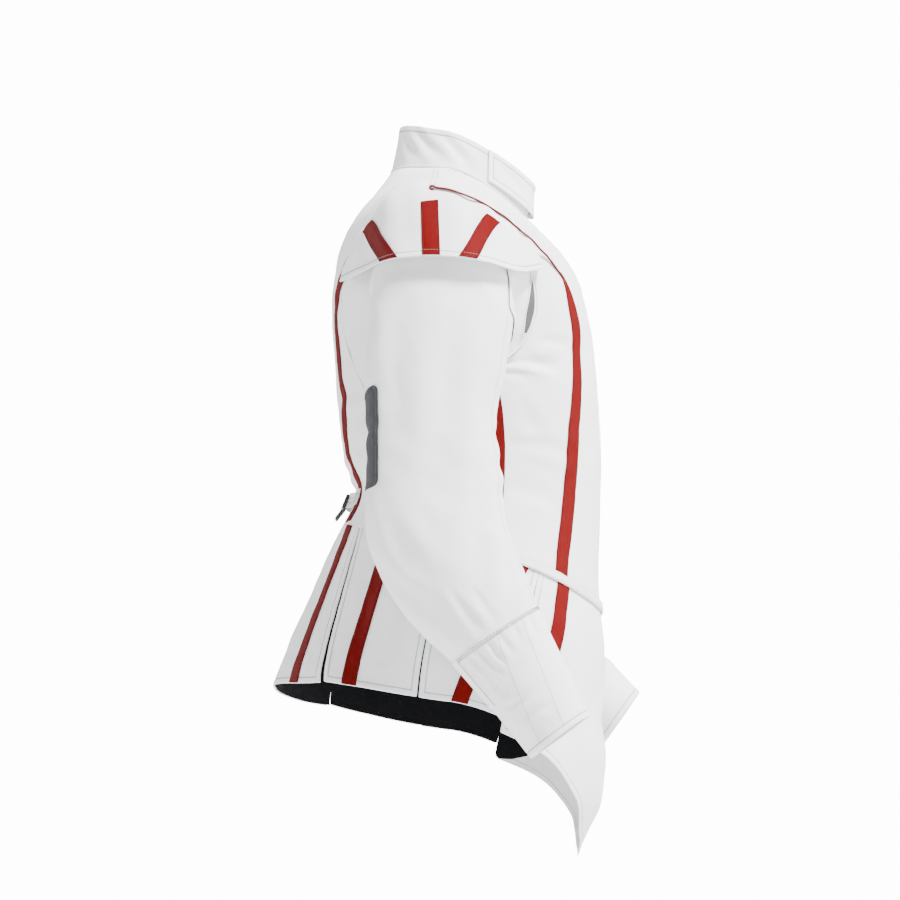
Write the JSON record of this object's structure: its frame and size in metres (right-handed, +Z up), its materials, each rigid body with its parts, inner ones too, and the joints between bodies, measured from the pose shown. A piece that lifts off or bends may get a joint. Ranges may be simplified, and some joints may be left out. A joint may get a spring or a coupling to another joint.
{
  "type": "fencing jacket",
  "caption": "fencing jacket with a standing collar, shoulder wings, long sleeves and a flared skirt that is longer at the front",
  "frame": {"origin": "the middle of the shoulder line, level with the foot of the collar at the back, where the wearer's shoulders carry the jacket", "axes": "+Z up; the front faces -Y; -X is the wearer's right"},
  "size_m": [0.61, 0.464, 0.9137],
  "materials": {
    "white_cloth": "matt heavy woven cotton",
    "red_tape": "matt woven tape",
    "black_lining": "matt woven lining",
    "grey_patch": "matt coated cloth",
    "dark_mesh": "knitted mesh",
    "buckle": "moulded plastic",
    "slider": "satin metal",
    "zip_tape": "woven zip tape with coil"
  },
  "bodies": {
    "root": {"back": "white_cloth", "back_buckle": "buckle", "back_strap": "white_cloth", "collar": "white_cloth", "collar_flap": "white_cloth", "cuff_l": "white_cloth", "cuff_r": "white_cloth", "elbow_patch_l": "grey_patch", "elbow_patch_r": "grey_patch", "front_l": "white_cloth", "front_r": "white_cloth", "gusset_l": "dark_mesh", "gusset_r": "dark_mesh", "lining_back": "black_lining", "lining_front_l": "black_lining", "lining_front_r": "black_lining", "lining_side_back_l": "black_lining", "lining_side_back_r": "black_lining", "lining_side_front_l": "black_lining", "lining_side_front_r": "black_lining", "skirt_back": "white_cloth", "skirt_front_l": "white_cloth", "skirt_front_r": "white_cloth", "skirt_side_back_l": "white_cloth", "skirt_side_back_r": "white_cloth", "skirt_side_front_l": "white_cloth", "skirt_side_front_r": "white_cloth", "skirt_tape_back_l": "red_tape", "skirt_tape_back_r": "red_tape", "skirt_tape_front_l": "red_tape", "skirt_tape_front_r": "red_tape", "skirt_tape_side_back_l": "red_tape", "skirt_tape_side_back_r": "red_tape", "skirt_tape_side_front_l": "red_tape", "skirt_tape_side_front_r": "red_tape", "sleeve_under_l": "white_cloth", "sleeve_under_r": "white_cloth", "sleeve_upper_l": "white_cloth", "sleeve_upper_r": "white_cloth", "tape_back_l": "red_tape", "tape_back_r": "red_tape", "tape_front_l": "red_tape", "tape_front_r": "red_tape", "tape_side_l": "red_tape", "tape_side_r": "red_tape", "waist_band_l": "white_cloth", "waist_band_r": "white_cloth", "wing_l": "white_cloth", "wing_r": "white_cloth", "wing_strip_back_l": "red_tape", "wing_strip_back_r": "red_tape", "wing_strip_front_l": "red_tape", "wing_strip_front_r": "red_tape", "wing_strip_middle_l": "red_tape", "wing_strip_middle_r": "red_tape", "zip_slider": "slider", "zip_tape": "zip_tape"}
  },
  "joints": []
}
